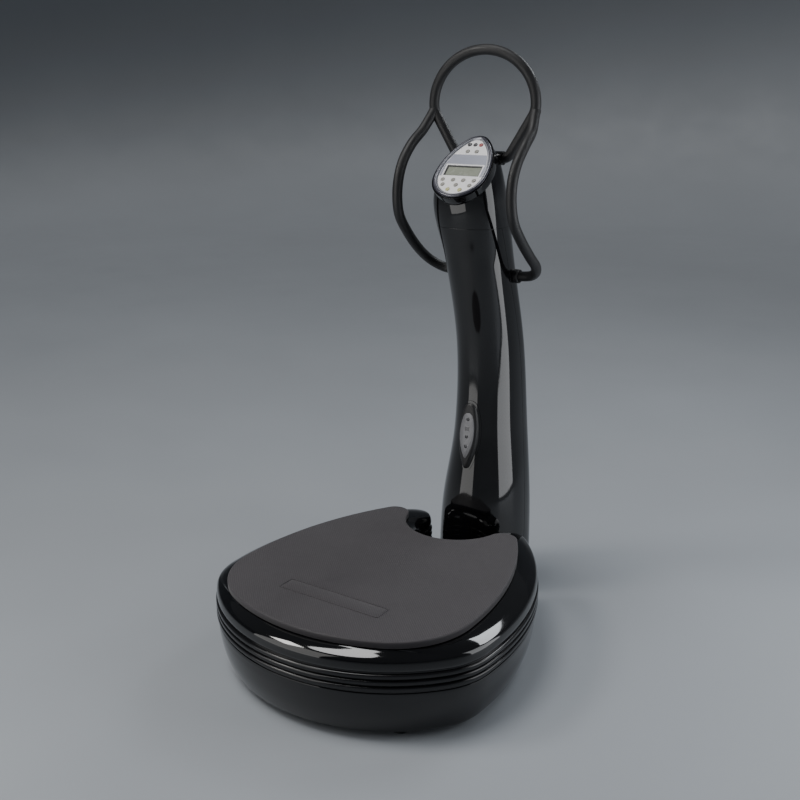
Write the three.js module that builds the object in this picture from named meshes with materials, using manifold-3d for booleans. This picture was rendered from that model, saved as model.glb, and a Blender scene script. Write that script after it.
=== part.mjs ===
// Whole-body vibration plate: a three-lobed platform on a sprung plate, driven by two
// unbalance motors, with a leaning column, a teardrop console and a bent tube handrail.
// Millimetres, +Z up, +X to the user's right, the user stands on the platform facing +Y.
import * as THREE from 'three';
import { mergeVertices } from 'three/addons/utils/BufferGeometryUtils.js';
import Module from 'manifold-3d';

const wasm = await Module();
wasm.setup();

// ---------------------------------------------------------------- driving dimensions
const GAP = 0.3; // clearance left between pieces that touch

// Platform outlines: front arc, front corners, side arcs, rear lobes and notch. The mat has
// its own; the shell round it flares out at the sides, and is given here shrunk by RIM_OUT.
const PLATE = {
  frontY: -378, frontR: 511, cornerR: 219, sideX: 553, sideY: -113,
  halfWidth: 348, lobeR: 42, notchY: 384, notchR: 146,
};
const SHELL = {
  frontY: -378, frontR: 431, cornerR: 161, sideX: 340, sideY: -68,
  halfWidth: 370, lobeR: 18, notchY: 384, notchR: 146,
};
const FLARE = 30; // the skirt goes over from the mat's outline to the shell's within this
const MAT_TOP = 253.7;
const MAT_THICK = 16.7;
const PLATE_THICK = 12;
const PLATE_INSET = 12; // the steel plate ends this far inside the mat's edge
const PLATE_UNDERSIDE = MAT_TOP - MAT_THICK - GAP - PLATE_THICK;
const RIM_OUT = 38.7; // the widest rib stands this far outside the mat's edge
const GROOVE_OUT = 32.5;
const GROOVE_Z = 138.7; // lowest groove of the bellows
const RIB_PITCH = 16.3;
const RIB_COUNT = 3;
const SKIRT_BOTTOM = 190;
const HOUSING_TOP = 135.5;
const HOUSING_FOOT = -1; // the housing's lower edge, inwards, where the pan meets it
const CHASSIS_BOTTOM = 18;
const CHASSIS_TOP = 26;
const POST_TOP = 150;
const POST_R = 24;
const ISOLATOR_R = 20;
const MOUNT_POINTS = [[-215, -230], [215, -230], [-215, 215], [215, 215]];
const FOOT_POINTS = [[-235, -265], [235, -265], [-250, 250], [250, 250], [-75, 610], [75, 610]];
const FOOT_R = 24;
const SPINE = { width: 190, from: 170, to: 530 };

// Unbalance motors hang under the plate, side by side, with their shafts along X.
const MOTOR = { x: 150, y: -20, z: 160, r: 46, halfLength: 62, shaftR: 9, boreR: 11 };

// Column sections by height: half width, front, widest line and back.
const COLUMN = [
  { z: 0, a: 130, front: 405, middle: 570, back: 672 },
  { z: 260, a: 126, front: 420, middle: 577, back: 666 },
  { z: 500, a: 100, front: 455, middle: 600, back: 672 },
  { z: 750, a: 91, front: 455, middle: 578, back: 646 },
  { z: 1000, a: 90, front: 395, middle: 492, back: 577 },
  { z: 1160, a: 96, front: 345, middle: 420, back: 530 },
  { z: 1260, a: 76, front: 352, middle: 430, back: 508 },
  { z: 1340, a: 40, front: 400, middle: 450, back: 492 },
];
const NOSE_POWER = 2.2; // superellipse exponents of the section's front and back
const BACK_POWER = 3;
const COLUMN_BOTTOM = CHASSIS_TOP + GAP;
const COLUMN_TOP = 1101; // seam under the head
const WALL = 3;
const FOOT_TRIM = { bottom: CHASSIS_TOP + GAP, top: 62, out: 8, clear: 0.9 };

// Console: a teardrop face on a plane tilted towards the user.
const FACE = { y: 391, z: 1252, tilt: 44 * Math.PI / 180 };
const FACE_OUTLINE = { y1: -13, r1: 66, y2: 82, r2: 27, side: 150 };
const BEZEL_OUT = 13;
const HEAD_OUT = 18;
const WINDOW = { halfX: 54, halfY: 18 };
const KEY_R = 6.1;
const KEY_ROWS = [
  { y: 92, xs: [-17.5, 0, 17.5] },
  { y: 68, xs: [-13.8, 13.8] },
  { y: -33, xs: [-47.6, -15.6, 15.6, 47.6] },
  { y: -50, xs: [-41, 0, 41] },
  { y: -66, xs: [-18.2, 18.2] },
];

// Remote control docked on the column's lower front.
const REMOTE = { y: 437.9, z: 492, tilt: 82 * Math.PI / 180 };
const REMOTE_OUTLINE = { y1: -87, r1: 7, y2: 80, r2: 18, side: 250 };
const REMOTE_FACE = { y1: -59, r1: 4.5, y2: 53, r2: 16.5, side: 150 };
const DOCK_MARGIN = 8;
const DOCK_THICK = 2;
const REMOTE_KEY_R = 4.8;
const REMOTE_KEYS = [52, 0, -29];
const REMOTE_SCREEN = { width: 14, height: 11, y: 23 };

// Handrail tube.
const TUBE_R = 14;
const TUBE_HOLE_R = TUBE_R + 0.8;
const HOOP = { y: 497, z: 1405, r: 156.5, legTopX: 156.5, legFootX: 78, legFootZ: 1281, endX: 50 };
const HANDLE_ROUTE = [
  [158, 488, 1393], [167, 457, 1354], [172, 407, 1317], [173, 366, 1275], [173.5, 344, 1229],
  [175, 339, 1180], [177, 352, 1129], [178.5, 393, 1079], [179, 448, 1029], [176, 491, 997],
  [163, 518, 976], [140, 535, 962], [110, 540, 957], [72, 540, 956],
];
const SOCKET = { y: 540, z: 956.2, outer: 19.5, root: 60, end: 104 };

// Power inlet and rocker switch low on the column's back, on one small panel.
const INLET_Z = 150;
const INLET = { x: -16, width: 27, height: 20, depth: 26, wall: 2.5 };
const ROCKER = { x: 22, width: 17.2, height: 14, r: 7 };
const ROCKER_CLEAR = 0.6; // room for the rocker to tip
const PANEL = { x: 3, width: 74, height: 34, thick: 1.6 };

// Plate-frame Y values become part-frame values through this shift.
const FRONT_Y = SHELL.frontY - RIM_OUT;
const REAR_Y = columnSection(FOOT_TRIM.bottom).back + FOOT_TRIM.out;
const SHIFT_Y = (FRONT_Y + REAR_Y) / 2;

// ---------------------------------------------------------------- geometry helpers
function arcPoints(cx, cy, r, from, to, steps) {
  const points = [];
  for (let i = 0; i < steps; i++) {
    const t = from + (to - from) * i / steps;
    points.push([cx + r * Math.cos(t), cy + r * Math.sin(t)]);
  }
  return points;
}

// Centre of a circle at distance ra from a and rb from b; side picks the left (+1) or
// right (-1) of the direction from a to b.
function circleCentre(a, ra, b, rb, side) {
  const dx = b[0] - a[0];
  const dy = b[1] - a[1];
  const d = Math.hypot(dx, dy);
  const along = (ra * ra - rb * rb + d * d) / (2 * d);
  const off = side * Math.sqrt(Math.max(ra * ra - along * along, 0));
  return [a[0] + (dx * along - dy * off) / d, a[1] + (dy * along + dx * off) / d];
}

const heading = (from, to) => Math.atan2(to[1] - from[1], to[0] - from[0]);

// Adds the mirror image of a half outline whose first and last points lie on the Y axis.
function mirrored(half) {
  const left = half.slice(1, -1).reverse().map(([x, y]) => [-x, y]);
  return half.concat(left);
}

// Platform outline, moved outwards by grow, counter-clockwise from the front centre.
function plateOutline(grow, p = PLATE) {
  const front = [0, p.frontY + p.frontR];
  const side = [-p.sideX, p.sideY];
  const sideR = p.sideX + p.halfWidth;
  const notch = [0, p.notchY];
  const corner = circleCentre(front, p.frontR - p.cornerR, side, sideR - p.cornerR, 1);
  const lobe = circleCentre(side, sideR - p.lobeR, notch, p.notchR + p.lobeR, -1);
  const inwards = (heading(lobe, notch) + 2 * Math.PI) % (2 * Math.PI);
  const half = [
    ...arcPoints(...front, p.frontR + grow, -Math.PI / 2, heading(front, corner), 6),
    ...arcPoints(...corner, p.cornerR + grow, heading(front, corner), heading(side, corner), 7),
    ...arcPoints(...side, sideR + grow, heading(side, corner), heading(side, lobe), 8),
    ...arcPoints(...lobe, p.lobeR + grow, heading(side, lobe), inwards, 7),
    ...arcPoints(...notch, p.notchR - grow, heading(notch, lobe), -Math.PI / 2, 7),
  ];
  half.push([0, p.notchY - p.notchR + grow]);
  return mirrored(half);
}

// Outline that is the mat's at its edge and the shell's from FLARE outwards.
function skirtOutline(grow) {
  const share = Math.min(Math.max(grow / FLARE, 0), 1);
  const shell = plateOutline(grow, SHELL);
  return plateOutline(grow).map(([x, y], i) => {
    const [sx, sy] = shell[i];
    return [x + (sx - x) * share, y + (sy - y) * share];
  });
}

// Teardrop or leaf outline: two end circles on the Y axis joined by wide side arcs.
function dropOutline(shape, grow, steps = 1) {
  const low = [0, shape.y1];
  const high = [0, shape.y2];
  const side = circleCentre(low, shape.side - shape.r1, high, shape.side - shape.r2, 1);
  const n = k => Math.max(3, Math.round(k * steps));
  const half = [
    ...arcPoints(...low, shape.r1 + grow, -Math.PI / 2, heading(side, low), n(7)),
    ...arcPoints(...side, shape.side + grow, heading(side, low), heading(side, high), n(7)),
    ...arcPoints(...high, shape.r2 + grow, heading(side, high), Math.PI / 2, n(5)),
  ];
  half.push([0, shape.y2 + shape.r2 + grow]);
  return mirrored(half);
}

const atHeight = (outline, z) => outline.map(([x, y]) => new THREE.Vector3(x, y, z));

// Ring makers: each gives the ring of one outline, moved outwards by grow, at height z.
const matRing = (grow, z) => atHeight(plateOutline(grow), z);
const shellRing = (grow, z) => atHeight(plateOutline(grow, SHELL), z);
const skirtRing = (grow, z) => atHeight(skirtOutline(grow), z);
const dropRing = (shape, steps) => (grow, z) => atHeight(dropOutline(shape, grow, steps), z);
const columnRing = (grow, z) => sectionRing(z, grow);

function meshFrom(points, triangles) {
  const geometry = new THREE.BufferGeometry();
  const flat = points.flatMap(p => [p.x, p.y, p.z]);
  geometry.setAttribute('position', new THREE.Float32BufferAttribute(flat, 3));
  geometry.setIndex(triangles.flat());
  return geometry;
}

function ringQuads(count, a, b) {
  const triangles = [];
  for (let i = 0; i < count; i++) {
    const j = (i + 1) % count;
    triangles.push([a + i, a + j, b + j], [a + i, b + j, b + i]);
  }
  return triangles;
}

// Solid through rings of equal point count, counter-clockwise seen from the last ring.
function loft(rings) {
  const count = rings[0].length;
  const triangles = [];
  for (let r = 0; r + 1 < rings.length; r++) {
    triangles.push(...ringQuads(count, r * count, (r + 1) * count));
  }
  const cap = ring => {
    const flat = ring.map(p => new THREE.Vector2(p.x, p.y));
    return THREE.ShapeUtils.triangulateShape(flat, []);
  };
  const last = (rings.length - 1) * count;
  triangles.push(...cap(rings[0]).map(([a, b, c]) => [c, b, a]));
  triangles.push(...cap(rings.at(-1)).map(corners => corners.map(k => last + k)));
  return meshFrom(rings.flat(), triangles);
}

// Solid through the rings that a profile of [grow, z] asks for, from the bottom up.
const stack = (ring, profile) => loft(profile.map(([grow, z]) => ring(grow, z)));

// Endless band: a closed profile of [grow, z] carried round an outline. The profile runs
// up its outer side and down its inner side.
function band(ring, profile) {
  const rings = profile.map(([grow, z]) => ring(grow, z));
  const count = rings[0].length;
  const triangles = [];
  for (let r = 0; r < rings.length; r++) {
    triangles.push(...ringQuads(count, r * count, ((r + 1) % rings.length) * count));
  }
  return meshFrom(rings.flat(), triangles);
}

function toSolid(geometry) {
  const bare = new THREE.BufferGeometry();
  bare.setAttribute('position', geometry.getAttribute('position').clone());
  if (geometry.index) bare.setIndex(geometry.index.clone());
  const merged = mergeVertices(bare, 1e-4);
  return new wasm.Manifold(new wasm.Mesh({
    numProp: 3,
    vertProperties: new Float32Array(merged.getAttribute('position').array),
    triVerts: new Uint32Array(merged.index.array),
  }));
}

function toGeometry(solid) {
  const mesh = solid.getMesh();
  const geometry = new THREE.BufferGeometry();
  const points = new Float32Array(mesh.vertProperties);
  geometry.setAttribute('position', new THREE.BufferAttribute(points, 3));
  geometry.setIndex(new THREE.BufferAttribute(new Uint32Array(mesh.triVerts), 1));
  return geometry;
}

const join = parts => toGeometry(parts.map(toSolid).reduce((a, b) => a.add(b)));
const overlap = (a, b) => toGeometry(toSolid(a).intersect(toSolid(b)));

function cut(body, tools) {
  return toGeometry(tools.map(toSolid).reduce((a, b) => a.subtract(b), toSolid(body)));
}

function box(size, centre) {
  return new THREE.BoxGeometry(...size).translate(...centre);
}

function cylinderZ(r, z0, z1, x = 0, y = 0, segments = 20) {
  return new THREE.CylinderGeometry(r, r, z1 - z0, segments)
    .rotateX(Math.PI / 2).translate(x, y, (z0 + z1) / 2);
}

function cylinderX(r, x0, x1, y, z, segments = 20) {
  return new THREE.CylinderGeometry(r, r, Math.abs(x1 - x0), segments)
    .rotateZ(Math.PI / 2).translate((x0 + x1) / 2, y, z);
}

function turned(profile, segments = 20) {
  const points = profile.map(([r, z]) => new THREE.Vector2(r, z));
  return new THREE.LatheGeometry(points, segments).rotateX(Math.PI / 2);
}

function tube(curve, steps, r = TUBE_R, sides = 10) {
  const section = new THREE.Shape().absarc(0, 0, r, 0, 2 * Math.PI);
  return new THREE.ExtrudeGeometry(section, {
    steps, curveSegments: sides / 2, bevelEnabled: false, extrudePath: curve,
  });
}

// Carries a point or a geometry from a tilted face's own axes to the plate frame.
function facePlacement(face) {
  return new THREE.Matrix4().makeTranslation(0, face.y, face.z)
    .multiply(new THREE.Matrix4().makeRotationX(face.tilt));
}

// ---------------------------------------------------------------- column shape
function columnSection(z) {
  const curve = key => {
    const points = COLUMN.map(s => new THREE.Vector2(s.z, s[key]));
    const last = points.length - 1;
    let i = 0;
    while (i < last - 1 && z > points[i + 1].x) i++;
    const t = (z - points[i].x) / (points[i + 1].x - points[i].x);
    const slope = k => {
      const a = points[Math.max(k - 1, 0)];
      const b = points[Math.min(k + 1, last)];
      return (b.y - a.y) / (b.x - a.x);
    };
    const span = points[i + 1].x - points[i].x;
    const h1 = t * t * (3 - 2 * t);
    const bend = slope(i) * span * t * (1 - t) * (1 - t) - slope(i + 1) * span * t * t * (1 - t);
    return points[i].y + (points[i + 1].y - points[i].y) * h1 + bend;
  };
  return { a: curve('a'), front: curve('front'), middle: curve('middle'), back: curve('back') };
}

// Points of the column's section between two angles, moved outwards by grow.
function sectionPoints(z, grow, from, to, steps) {
  const s = columnSection(z);
  const points = [];
  for (let i = 0; i <= steps; i++) {
    const t = from + (to - from) * i / steps;
    const c = Math.cos(t);
    const k = Math.sin(t);
    const rear = k > 0;
    const power = 2 / (rear ? BACK_POWER : NOSE_POWER);
    const depth = (rear ? s.back - s.middle : s.middle - s.front) + grow;
    const x = (s.a + grow) * Math.sign(c) * Math.abs(c) ** power;
    const y = s.middle + depth * Math.sign(k) * Math.abs(k) ** power;
    points.push(new THREE.Vector3(Math.abs(c) < 1e-9 ? 0 : x, Math.abs(k) < 1e-9 ? s.middle : y, z));
  }
  return points;
}

function sectionRing(z, grow) {
  const rear = sectionPoints(z, grow, 0, Math.PI, 14);
  const front = sectionPoints(z, grow, Math.PI, 2 * Math.PI, 16);
  return [...rear.slice(0, -1), ...front.slice(0, -1)];
}

function heights(from, to, steps) {
  return Array.from({ length: steps + 1 }, (_, i) => from + (to - from) * i / steps);
}

// The shells, and whatever is shaped against them, share these levels.
const SHELL_LEVELS = heights(COLUMN_BOTTOM, COLUMN_TOP, 13);

const columnSolid = (grow, levels = SHELL_LEVELS) => loft(levels.map(z => sectionRing(z, grow)));

function columnShell(rear) {
  const [from, to, steps] = rear ? [0, Math.PI, 14] : [Math.PI, 2 * Math.PI, 16];
  const seam = rear ? GAP : 0;
  const rings = SHELL_LEVELS.map(z => {
    const outer = sectionPoints(z, 0, from, to, steps);
    const inner = sectionPoints(z, -WALL, from, to, steps).reverse();
    return [...outer, ...inner].map(p => new THREE.Vector3(p.x, p.y + seam, p.z));
  });
  return loft(rings);
}

// ---------------------------------------------------------------- part list
const group = new THREE.Group();
const plateFrame = new THREE.Group();
plateFrame.position.y = -SHIFT_Y;
group.add(plateFrame);

const FINISH = {
  gloss: { color: 0x0b0b0d, roughness: 0.12, metalness: 0 },
  matte: { color: 0x17181a, roughness: 0.6, metalness: 0 },
  rubber: { color: 0x1c1d1f, roughness: 0.8, metalness: 0 },
  mat: { color: 0x66666c, roughness: 0.85, metalness: 0 },
  steel: { color: 0x3a3c40, roughness: 0.45, metalness: 0.8 },
  bright: { color: 0xa9abb0, roughness: 0.3, metalness: 0.9 },
  silver: { color: 0xc4c6cc, roughness: 0.35, metalness: 0.4 },
  white: { color: 0xf2f2f2, roughness: 0.4, metalness: 0 },
  grip: { color: 0x2b2c2e, roughness: 0.7, metalness: 0 },
  glass: { color: 0xa8ada0, roughness: 0.15, metalness: 0 },
  board: { color: 0x1f4a2c, roughness: 0.6, metalness: 0 },
};

function add(name, geometry, finish, parent = plateFrame) {
  const mesh = new THREE.Mesh(geometry, new THREE.MeshStandardMaterial(FINISH[finish]));
  mesh.name = name;
  parent.add(mesh);
  return mesh;
}

function tiltedGroup(face) {
  const holder = new THREE.Group();
  holder.position.set(0, face.y, face.z);
  holder.rotation.x = face.tilt;
  plateFrame.add(holder);
  return holder;
}

// ---------------------------------------------------------------- platform
// Flat bar that ties the pan to the column's footing, passing under the notch wall.
function spineBox(grow) {
  const { width, from, to } = SPINE;
  const thick = CHASSIS_TOP - CHASSIS_BOTTOM;
  const size = [width + 2 * grow, to - from, thick + 2 * grow];
  return box(size, [0, (from + to) / 2, CHASSIS_BOTTOM + thick / 2]);
}

function chassis() {
  const slab = (ring, grow) => stack(ring, [[grow, CHASSIS_BOTTOM], [grow, CHASSIS_TOP]]);
  const deck = slab(columnRing, FOOT_TRIM.out);
  const pan = slab(shellRing, HOUSING_FOOT - GAP);
  const spine = spineBox(0);
  const posts = MOUNT_POINTS.map(([x, y]) => cylinderZ(POST_R, CHASSIS_BOTTOM + 1, POST_TOP, x, y));
  const studs = FOOT_POINTS.map(([x, y]) => cylinderZ(5.5, CHASSIS_BOTTOM - 5, CHASSIS_TOP + 5, x, y, 16));
  return cut(join([pan, spine, deck, ...posts]), studs);
}

function lowerHousing() {
  const outer = [[5, 16], [14, 26], [25.5, 60], [33.5, 105], [35.5, 128], [34, HOUSING_TOP]];
  const foot = [[HOUSING_FOOT, 26.5], [HOUSING_FOOT, 16]];
  const inner = [[28, HOUSING_TOP], [28.5, 105], [21, 62], [9, 30], ...foot];
  return cut(band(shellRing, [...outer, ...inner]), [spineBox(GAP)]);
}

function bellows() {
  const outer = [[GROOVE_OUT, HOUSING_TOP + GAP]];
  for (let k = 0; k < RIB_COUNT; k++) {
    const z = GROOVE_Z + k * RIB_PITCH;
    outer.push([GROOVE_OUT, z], [RIM_OUT, z + 0.33 * RIB_PITCH], [RIM_OUT, z + 0.67 * RIB_PITCH]);
  }
  outer.push([GROOVE_OUT, SKIRT_BOTTOM - GAP]);
  return band(shellRing, [...outer, [28, SKIRT_BOTTOM - GAP], [28, HOUSING_TOP + GAP]]);
}

function upperSkirt() {
  const side = [[34, SKIRT_BOTTOM], [36, 198], [34.5, 211]];
  const shoulder = [[30.5, 220.5], [22, 226.5], [11, 231.5], [1, 234.5]];
  const lip = GAP - PLATE_INSET;
  const inner = [[lip, 234.5], [lip, 230.5], [11, 226.5], [22, 219], [28.5, 208], [30.5, SKIRT_BOTTOM]];
  return band(skirtRing, [...side, ...shoulder, ...inner]);
}

function rubberMat() {
  const bottom = MAT_TOP - MAT_THICK;
  return stack(matRing, [[0, bottom], [0, MAT_TOP - 3], [-3, MAT_TOP]]);
}

function vibrationPlate() {
  const top = PLATE_UNDERSIDE + PLATE_THICK;
  return stack(matRing, [[-PLATE_INSET, PLATE_UNDERSIDE], [-PLATE_INSET, top]]);
}

function motorHousing(side) {
  const { x, y, z, r, halfLength, boreR } = MOTOR;
  const cx = side * x;
  const barrel = cylinderX(r, cx - halfLength, cx + halfLength, y, z, 24);
  const saddleTop = PLATE_UNDERSIDE - GAP;
  const saddle = box([90, 96, saddleTop - z], [cx, y, (saddleTop + z) / 2]);
  const foot = box([110, 130, 8], [cx, y, saddleTop - 4]);
  const bore = cylinderX(boreR, cx - halfLength - 5, cx + halfLength + 5, y, z, 16);
  return cut(join([barrel, saddle, foot]), [bore]);
}

function rotor(side) {
  const { x, y, z, r, halfLength, shaftR } = MOTOR;
  const cx = side * x;
  const reach = halfLength + 22;
  const shaft = cylinderX(shaftR, cx - reach, cx + reach, y, z, 16);
  const half = new THREE.Shape();
  half.absarc(0, 0, r - 8, 0, Math.PI);
  const weight = new THREE.ExtrudeGeometry(half, { depth: 16, bevelEnabled: false, curveSegments: 12 })
    .rotateZ(Math.PI).rotateY(Math.PI / 2).rotateX(Math.PI / 2);
  const weights = [-1, 1].map(end => weight.clone().translate(cx + end * (halfLength + 12) - 8, y, z));
  return join([shaft, ...weights]);
}

function levellingFoot() {
  return turned([[0, 0], [FOOT_R, 0], [FOOT_R, 6], [FOOT_R - 4, 9], [8, 12], [5, 12], [5, 36], [0, 36]], 14);
}

function buildPlatform() {
  add('base_frame', chassis(), 'steel');
  add('lower_housing', lowerHousing(), 'gloss');
  add('bellows', bellows(), 'gloss');
  add('upper_skirt', upperSkirt(), 'gloss');
  add('vibration_plate', vibrationPlate(), 'steel');
  add('rubber_mat', rubberMat(), 'mat');
  MOUNT_POINTS.forEach(([x, y], i) => {
    const block = cylinderZ(ISOLATOR_R, POST_TOP + GAP, PLATE_UNDERSIDE - GAP, x, y, 16);
    add(`isolator_${i + 1}`, block, 'rubber');
  });
  add('motor_housing_left', motorHousing(-1), 'steel');
  add('motor_housing_right', motorHousing(1), 'steel');
  add('rotor_left', rotor(-1), 'bright');
  add('rotor_right', rotor(1), 'bright');
  FOOT_POINTS.forEach(([x, y], i) => {
    add(`levelling_foot_${i + 1}`, levellingFoot(), 'rubber').position.set(x, y, 0);
  });
  add('motor_controller', box([150, 100, 55], [0, 130, CHASSIS_TOP + GAP + 27.5]), 'steel');
}

// ---------------------------------------------------------------- column
function mast() {
  const frame = (half, depth, from, to, steps) => loft(heights(from, to, steps).map(z => {
    const s = columnSection(z);
    const y = (s.front + s.back) / 2;
    return atHeight([[-half, y - depth], [half, y - depth], [half, y + depth], [-half, y + depth]], z);
  }));
  const tube = frame(36, 26, COLUMN_BOTTOM, COLUMN_TOP + 14, 12);
  const hollow = frame(32, 22, COLUMN_BOTTOM - 5, COLUMN_TOP + 20, 12);
  return cut(tube, [hollow]);
}

function footTrim() {
  const profile = [[FOOT_TRIM.out, FOOT_TRIM.bottom], [FOOT_TRIM.out, 40], [4, 55], [2, FOOT_TRIM.top],
    [FOOT_TRIM.clear, FOOT_TRIM.top], [FOOT_TRIM.clear, FOOT_TRIM.bottom]];
  return band(columnRing, profile);
}

// Back of the column at the inlet's height, where the power panel lies.
const PANEL_Y = columnSection(INLET_Z).back;

// Openings for the inlet and the rocker, which the rear shell and the panel share.
function powerOpenings() {
  const through = 60;
  const opening = ({ x, width, height }, clear) => {
    return box([width + 2 * clear, through, height + 2 * clear], [x, PANEL_Y, INLET_Z]);
  };
  return [opening(INLET, GAP), opening(ROCKER, ROCKER_CLEAR)];
}

function rearShell() {
  const hole = side => cylinderX(TUBE_HOLE_R, 0, side * SOCKET.end, SOCKET.y, SOCKET.z, 24);
  return cut(columnShell(true), [...powerOpenings(), hole(-1), hole(1)]);
}

function handleSocket(side) {
  const { outer, root, end, y, z } = SOCKET;
  const collar = cylinderX(outer, side * root, side * end, y, z, 24);
  const bore = cylinderX(TUBE_HOLE_R, side * (root - 10), side * (end + 10), y, z, 24);
  return cut(collar, [bore, columnSolid(GAP)]);
}

function inletPanel() {
  const plate = box([PANEL.width, PANEL.thick, PANEL.height], [PANEL.x, PANEL_Y + 2.2, INLET_Z]);
  return cut(plate, powerOpenings());
}

function powerInlet() {
  const { x, width, height, depth, wall } = INLET;
  const body = box([width, depth, height], [x, PANEL_Y - 11.5, INLET_Z]);
  const well = box([width - 2 * wall, 18, height - 2 * wall], [x, PANEL_Y - 4, INLET_Z]);
  const pins = [-6, 0, 6].map(dx => box([2, 13, 5], [x + dx, PANEL_Y - 8, INLET_Z]));
  return join([cut(body, [well]), ...pins]);
}

function powerSwitch() {
  const { x, width, r } = ROCKER;
  const body = cylinderX(r, x - width / 2, x + width / 2, PANEL_Y - 5, INLET_Z, 16);
  const paddle = box([width, 5, 11], [x, PANEL_Y + 0.6, INLET_Z]);
  return join([body, paddle]);
}

function buildColumn() {
  add('column_mast', mast(), 'steel');
  add('column_front_shell', columnShell(false), 'gloss');
  add('column_rear_shell', rearShell(), 'gloss');
  add('column_foot_trim', footTrim(), 'matte');
  add('left_handle_socket', handleSocket(-1), 'matte');
  add('right_handle_socket', handleSocket(1), 'matte');
  add('inlet_panel', inletPanel(), 'matte');
  add('power_inlet', powerInlet(), 'matte');
  add('power_switch', powerSwitch(), 'matte');
}

// ---------------------------------------------------------------- console
const faceRing = dropRing(FACE_OUTLINE);

function headHousing() {
  const place = facePlacement(FACE);
  const outside = [[-14, -62], [2, -52], [12, -38], [17, -22], [HEAD_OUT, -8], [HEAD_OUT, 6]];
  const inside = [[-16, -58], [-2, -48], [8.5, -36], [13.5, -22], [14.5, -9], [-0.9, -6.5], [-0.9, 8]];
  const bowl = stack(faceRing, outside).applyMatrix4(place);
  const hollow = stack(faceRing, inside).applyMatrix4(place);
  const neck = columnSolid(0, heights(COLUMN_TOP + GAP, 1322, 8));
  const bore = columnSolid(-WALL, heights(COLUMN_TOP - 5, 1262, 6));
  const above = box([400, 500, 200], [0, 0, 100 - 2.3]).applyMatrix4(place);
  const shell = cut(join([bowl, neck]), [hollow, bore, above]);
  const legs = [-1, 1].map(side => tube(hoopEnd(side), 1, TUBE_HOLE_R, 20));
  return cut(shell, legs);
}

function faceplate() {
  const plate = stack(faceRing, [[0, -2], [0, 0]]);
  const window = box([2 * WINDOW.halfX, 2 * WINDOW.halfY, 10], [0, 0, 0]);
  const keyHole = (x, y) => cylinderZ(KEY_R + GAP, -5, 5, x, y, 12);
  const holes = KEY_ROWS.flatMap(row => row.xs.map(x => keyHole(x, row.y)));
  return cut(plate, [window, ...holes]);
}

const keyCap = (r, stem) => turned([[0, -stem], [r, -stem], [r, 0.8], [0.72 * r, 1.9], [0, 2.3]], 12);

function buildConsole() {
  add('head_housing', headHousing(), 'gloss');
  const face = tiltedGroup(FACE);
  const slope = [[BEZEL_OUT, -2], [BEZEL_OUT + 0.6, 0.5], [BEZEL_OUT - 1, 3], [8, 4.2]];
  const lip = [[3.5, 3], [1, 0.6], [0.4, -2]];
  add('console_bezel', band(faceRing, [...slope, ...lip]), 'silver', face);
  add('console_faceplate', faceplate(), 'white', face);
  const pane = box([2 * (WINDOW.halfX - GAP), 2 * (WINDOW.halfY - GAP), 3.4], [0, 0, -2.5]);
  add('display_window', pane, 'glass', face);
  const board = stack(dropRing(FACE_OUTLINE, 0.7), [[-8, -10], [-8, -8.4]]);
  add('control_board', board, 'board', face);
  let index = 0;
  for (const row of KEY_ROWS) {
    for (const x of row.xs) {
      index++;
      add(`console_key_${index}`, keyCap(KEY_R, 5.5), 'silver', face).position.set(x, row.y, 0);
    }
  }
}

// ---------------------------------------------------------------- remote control
function buildRemote() {
  const place = facePlacement(REMOTE);
  const podRing = dropRing(REMOTE_OUTLINE);
  const prism = stack(podRing, [[DOCK_MARGIN, -60], [DOCK_MARGIN, 20]]).applyMatrix4(place);
  const dock = cut(overlap(prism, columnSolid(DOCK_THICK)), [columnSolid(GAP)]);
  add('remote_dock', dock, 'gloss');
  const podSide = [[2, -40], [2, -11], [0, -5], [-4, -2], [-6, -1.3]];
  const pod = stack(podRing, podSide).applyMatrix4(place);
  const leafRing = dropRing(REMOTE_FACE);
  const well = stack(leafRing, [[-3, -9], [-3, 5]]).applyMatrix4(place);
  const body = cut(pod, [columnSolid(DOCK_THICK + GAP), well]);
  add('remote_housing', body, 'matte');
  const face = tiltedGroup(REMOTE);
  const plate = stack(leafRing, [[0, -1], [0, 0], [-1.2, 0.8]]);
  const holes = REMOTE_KEYS.map(y => cylinderZ(REMOTE_KEY_R + GAP, -5, 5, 0, y, 12));
  const { width, height, y } = REMOTE_SCREEN;
  const opening = box([width, height, 10], [0, y, 0]);
  add('remote_faceplate', cut(plate, [...holes, opening]), 'silver', face);
  const screen = box([width - 2 * GAP, height - 2 * GAP, 2.6], [0, y, -1]);
  add('remote_display', screen, 'glass', face);
  REMOTE_KEYS.forEach((keyY, i) => {
    add(`remote_key_${i + 1}`, keyCap(REMOTE_KEY_R, 5), 'matte', face).position.set(0, keyY, 0);
  });
}

// ---------------------------------------------------------------- handrail
// A corner of the given radius between two straight runs, as a quadratic bend.
function bend(path, before, corner, after, length) {
  const enter = corner.clone().addScaledVector(before.clone().sub(corner).normalize(), length);
  const leave = corner.clone().addScaledVector(after.clone().sub(corner).normalize(), length);
  path.push({ enter, corner, leave });
}

// Centre line of one hoop leg, from the end inside the head out and up to the arch.
function legPoints(side) {
  const at = (x, z) => new THREE.Vector3(side * x, HOOP.y, z);
  return [at(HOOP.endX, HOOP.legFootZ), at(HOOP.legFootX, HOOP.legFootZ), at(HOOP.legTopX, HOOP.z)];
}

function hoopEnd(side) {
  const [end, foot] = legPoints(side);
  const inside = new THREE.Vector3(side * (HOOP.endX - 20), HOOP.y, HOOP.legFootZ);
  return new THREE.LineCurve3(inside, foot.lerp(end, 0.35));
}

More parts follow.
